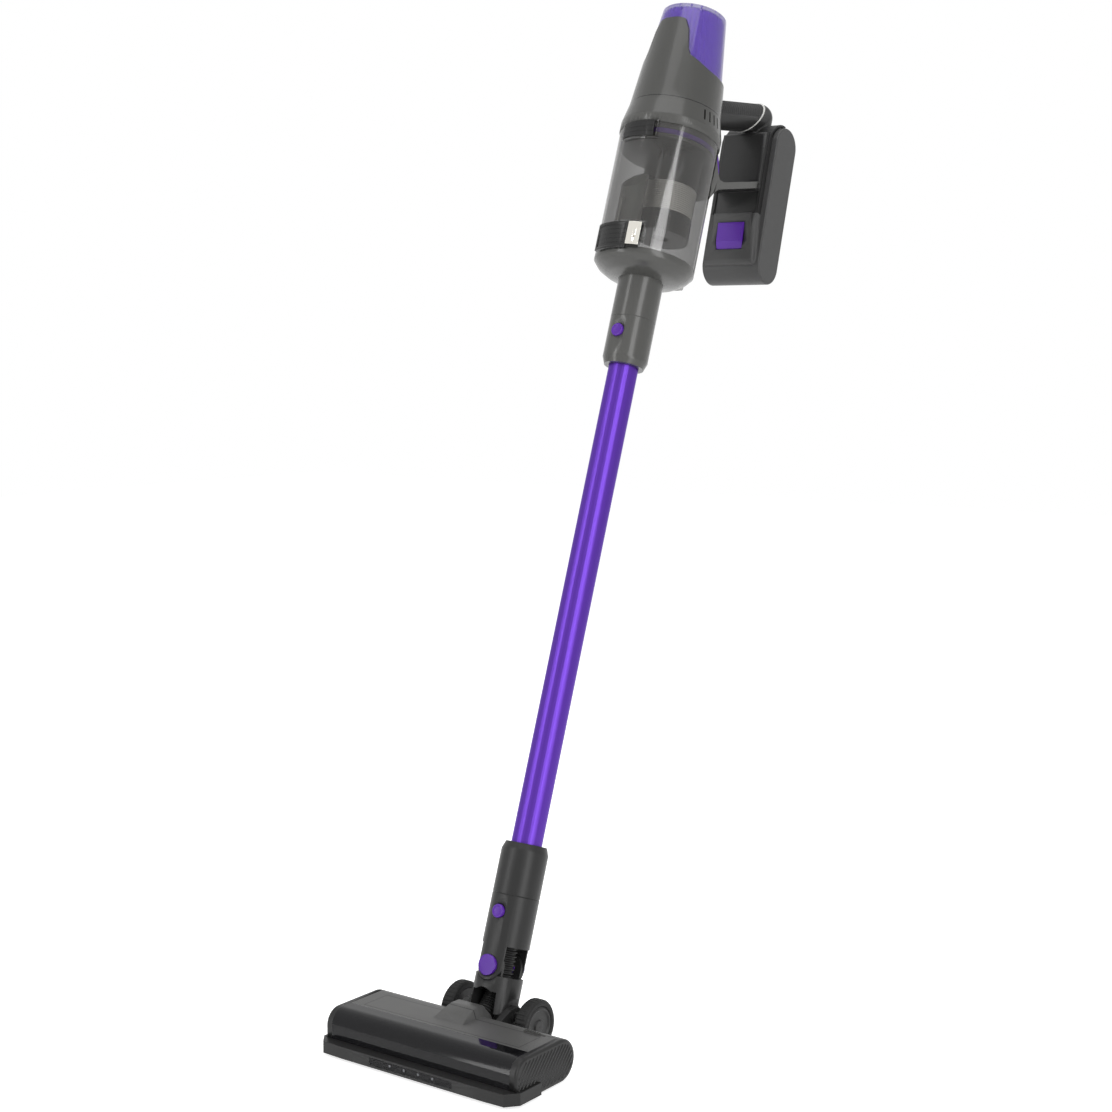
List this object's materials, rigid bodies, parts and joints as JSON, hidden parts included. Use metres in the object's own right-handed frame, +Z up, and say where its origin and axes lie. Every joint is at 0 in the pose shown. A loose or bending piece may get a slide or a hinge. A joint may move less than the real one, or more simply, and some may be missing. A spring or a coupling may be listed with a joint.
{
  "type": "cordless stick vacuum",
  "caption": "Cordless stick vacuum: powered floor head on a swivel neck, straight wand, cyclone dust cup, motor unit with top filter, loop handle and slide-on battery.",
  "frame": {"origin": "middle of the hand grip, on the centre line of the upper handle bar", "axes": "+Z up, +Y from the floor head towards the user, +X to the right as seen from the front; the wand leans 19.5 degrees towards +Y and the floor head stands flat"},
  "size_m": [0.248, 0.6528, 1.0702],
  "materials": {
    "grey_gloss": "polished grey plastic",
    "dark_plastic": "satin dark grey plastic",
    "head_grey": "fine textured grey plastic",
    "battery_grey": "fine textured grey plastic",
    "smoke_window": "dark tinted clear plastic",
    "smoke_cup": "smoke tinted clear plastic",
    "duct_grey": "grey plastic",
    "purple_metal": "anodised purple",
    "purple_clear": "purple tinted clear plastic",
    "purple_plastic": "purple plastic",
    "purple_rubber": "soft purple",
    "soft_grip": "soft ribbed grip",
    "chrome": "bright",
    "steel": "plain steel",
    "alloy": "plain alloy",
    "motor_iron": "windings and laminations",
    "drive_plastic": "plain",
    "belt_rubber": "ribbed belt",
    "cell_wrap": "wrapped cells",
    "board_green": "circuit board",
    "wire_insulation": "insulated wire",
    "filter_media": "pleated media",
    "bristle": "nylon bristle and plush",
    "roller_plastic": "plain",
    "hose_rubber": "soft corrugated hose",
    "lens_clear": "clear lens",
    "wheel_rubber": "soft tread"
  },
  "bodies": {
    "main_unit": {"motor_housing": "grey_gloss", "rim_ring": "grey_gloss", "cup_seal": "purple_rubber", "cyclone_shroud": "dark_plastic", "mesh_screen": "steel", "cyclone_skirt": "dark_plastic", "motor_can": "alloy", "motor_stator": "motor_iron", "motor_bearings": "steel", "handle_bar": "dark_plastic", "grip_pad": "soft_grip", "trim_ring": "chrome", "lower_arm": "dark_plastic", "trigger_switch": "board_green", "battery_dock": "dark_plastic", "control_board": "board_green", "handle_screws": "steel"},
    "motor_rotor": {"motor_shaft": "steel", "impeller": "alloy"},
    "trigger": {"power_trigger": "purple_plastic"},
    "filter": {"filter_cap": "purple_clear", "filter_element": "filter_media", "filter_seal": "purple_rubber"},
    "battery": {"battery_case": "battery_grey", "battery_cells": "cell_wrap", "battery_board": "board_green"},
    "battery_release": {"battery_button": "purple_plastic"},
    "dust_cup": {"cup_shell": "smoke_cup", "inlet_duct": "duct_grey", "lid_hinge_pin": "steel"},
    "cup_release": {"cup_latch": "dark_plastic"},
    "lid_release": {"lid_clasp": "dark_plastic", "clasp_plate": "chrome"},
    "lid": {"cup_lid": "grey_gloss", "neck_collar": "grey_gloss"},
    "wand_release": {"wand_button": "purple_plastic"},
    "wand": {"wand_tube": "purple_metal", "wand_end_plugs": "drive_plastic", "wand_wires": "wire_insulation"},
    "foot_neck": {"foot_collar": "grey_gloss", "foot_fork": "dark_plastic", "swing_caps": "purple_plastic", "upper_hose": "hose_rubber"},
    "foot_release": {"foot_button": "purple_plastic"},
    "swing_yoke": {"yoke": "dark_plastic"},
    "floor_head": {"head_base": "dark_plastic", "head_cover": "head_grey", "head_window": "smoke_window", "end_caps": "dark_plastic", "bumper": "dark_plastic", "led_lens": "lens_clear", "brush_motor": "drive_plastic", "drive_belt": "belt_rubber", "lower_hose": "hose_rubber"},
    "belt_drive": {"motor_pulley": "drive_plastic"},
    "brush": {"brush_roller": "roller_plastic", "brush_bristles": "bristle"},
    "brush_release": {"brush_lock": "head_grey"},
    "left_wheel": {"wheel_left": "wheel_rubber"},
    "right_wheel": {"wheel_right": "wheel_rubber"}
  },
  "joints": [
    {"name": "rotor_spin", "type": "hinge", "parent": "main_unit", "child": "motor_rotor", "pos_m": [0, -0.10924, 0.00606], "axis": [0, 0.3338, 0.9426], "continuous": true},
    {"name": "trigger_pull", "type": "hinge", "parent": "main_unit", "child": "trigger", "pos_m": [0, -0.04927, -0.03427], "axis": [1, 0, 0], "range_deg": [0, 10], "stiffness_Nm_per_rad": 0.4},
    {"name": "filter_pull", "type": "slide", "parent": "main_unit", "child": "filter", "axis": [0, 0.5225, 0.8526], "range_m": [0, 0.08]},
    {"name": "battery_slide", "type": "slide", "parent": "main_unit", "child": "battery", "axis": [0, -0.2756, -0.9613], "range_m": [0, 0.1]},
    {"name": "battery_button_press", "type": "slide", "parent": "battery", "child": "battery_release", "axis": [0, 0.9613, -0.2756], "range_m": [0, 0.0025], "stiffness_N_per_m": 800},
    {"name": "cup_slide", "type": "slide", "parent": "main_unit", "child": "dust_cup", "axis": [0, -0.3338, -0.9426], "range_m": [0, 0.12]},
    {"name": "cup_latch_press", "type": "slide", "parent": "dust_cup", "child": "cup_release", "axis": [0, 0.9426, -0.3338], "range_m": [0, 0.0015], "stiffness_N_per_m": 800},
    {"name": "lid_latch_press", "type": "slide", "parent": "dust_cup", "child": "lid_release", "axis": [0, 0.9426, -0.3338], "range_m": [0, 0.0015], "stiffness_N_per_m": 800},
    {"name": "lid_hinge", "type": "hinge", "parent": "dust_cup", "child": "lid", "pos_m": [0, -0.11617, -0.19623], "axis": [1, 0, 0], "range_deg": [0, 90]},
    {"name": "wand_button_press", "type": "slide", "parent": "lid", "child": "wand_release", "axis": [0, 0.9426, -0.3338], "range_m": [0, 0.0015], "stiffness_N_per_m": 800},
    {"name": "wand_slide", "type": "slide", "parent": "lid", "child": "wand", "axis": [0, -0.3338, -0.9426], "range_m": [0, 0.06]},
    {"name": "foot_slide", "type": "slide", "parent": "wand", "child": "foot_neck", "axis": [0, -0.3338, -0.9426], "range_m": [0, 0.085]},
    {"name": "foot_button_press", "type": "slide", "parent": "foot_neck", "child": "foot_release", "axis": [0, 0.9426, -0.3338], "range_m": [0, 0.0015], "stiffness_N_per_m": 800},
    {"name": "side_swing", "type": "hinge", "parent": "foot_neck", "child": "swing_yoke", "pos_m": [0, -0.42436, -0.88379], "axis": [0, 0.9426, -0.3338], "range_deg": [-45, 45], "deforming": ["upper_hose"]},
    {"name": "head_pitch", "type": "hinge", "parent": "swing_yoke", "child": "floor_head", "pos_m": [0, -0.43971, -0.92715], "axis": [1, 0, 0], "range_deg": [-19.5, 65], "deforming": ["lower_hose"]},
    {"name": "brush_spin", "type": "hinge", "parent": "floor_head", "child": "brush", "pos_m": [0, -0.52671, -0.94015], "axis": [1, 0, 0], "continuous": true},
    {"name": "belt_drive_spin", "type": "hinge", "parent": "floor_head", "child": "belt_drive", "pos_m": [-0.108, -0.48171, -0.93715], "axis": [1, 0, 0], "continuous": true},
    {"name": "brush_lock_slide", "type": "slide", "parent": "floor_head", "child": "brush_release", "axis": [1, 0, 0], "range_m": [0, 0.006], "stiffness_N_per_m": 300},
    {"name": "left_wheel_spin", "type": "hinge", "parent": "floor_head", "child": "left_wheel", "pos_m": [-0.047, -0.43211, -0.93315], "axis": [1, 0, 0], "continuous": true},
    {"name": "right_wheel_spin", "type": "hinge", "parent": "floor_head", "child": "right_wheel", "pos_m": [0.047, -0.43211, -0.93315], "axis": [1, 0, 0], "continuous": true}
  ],
  "couplings": [
    {"joint": "belt_drive_spin", "follows": "brush_spin", "ratio": 2.2}
  ]
}
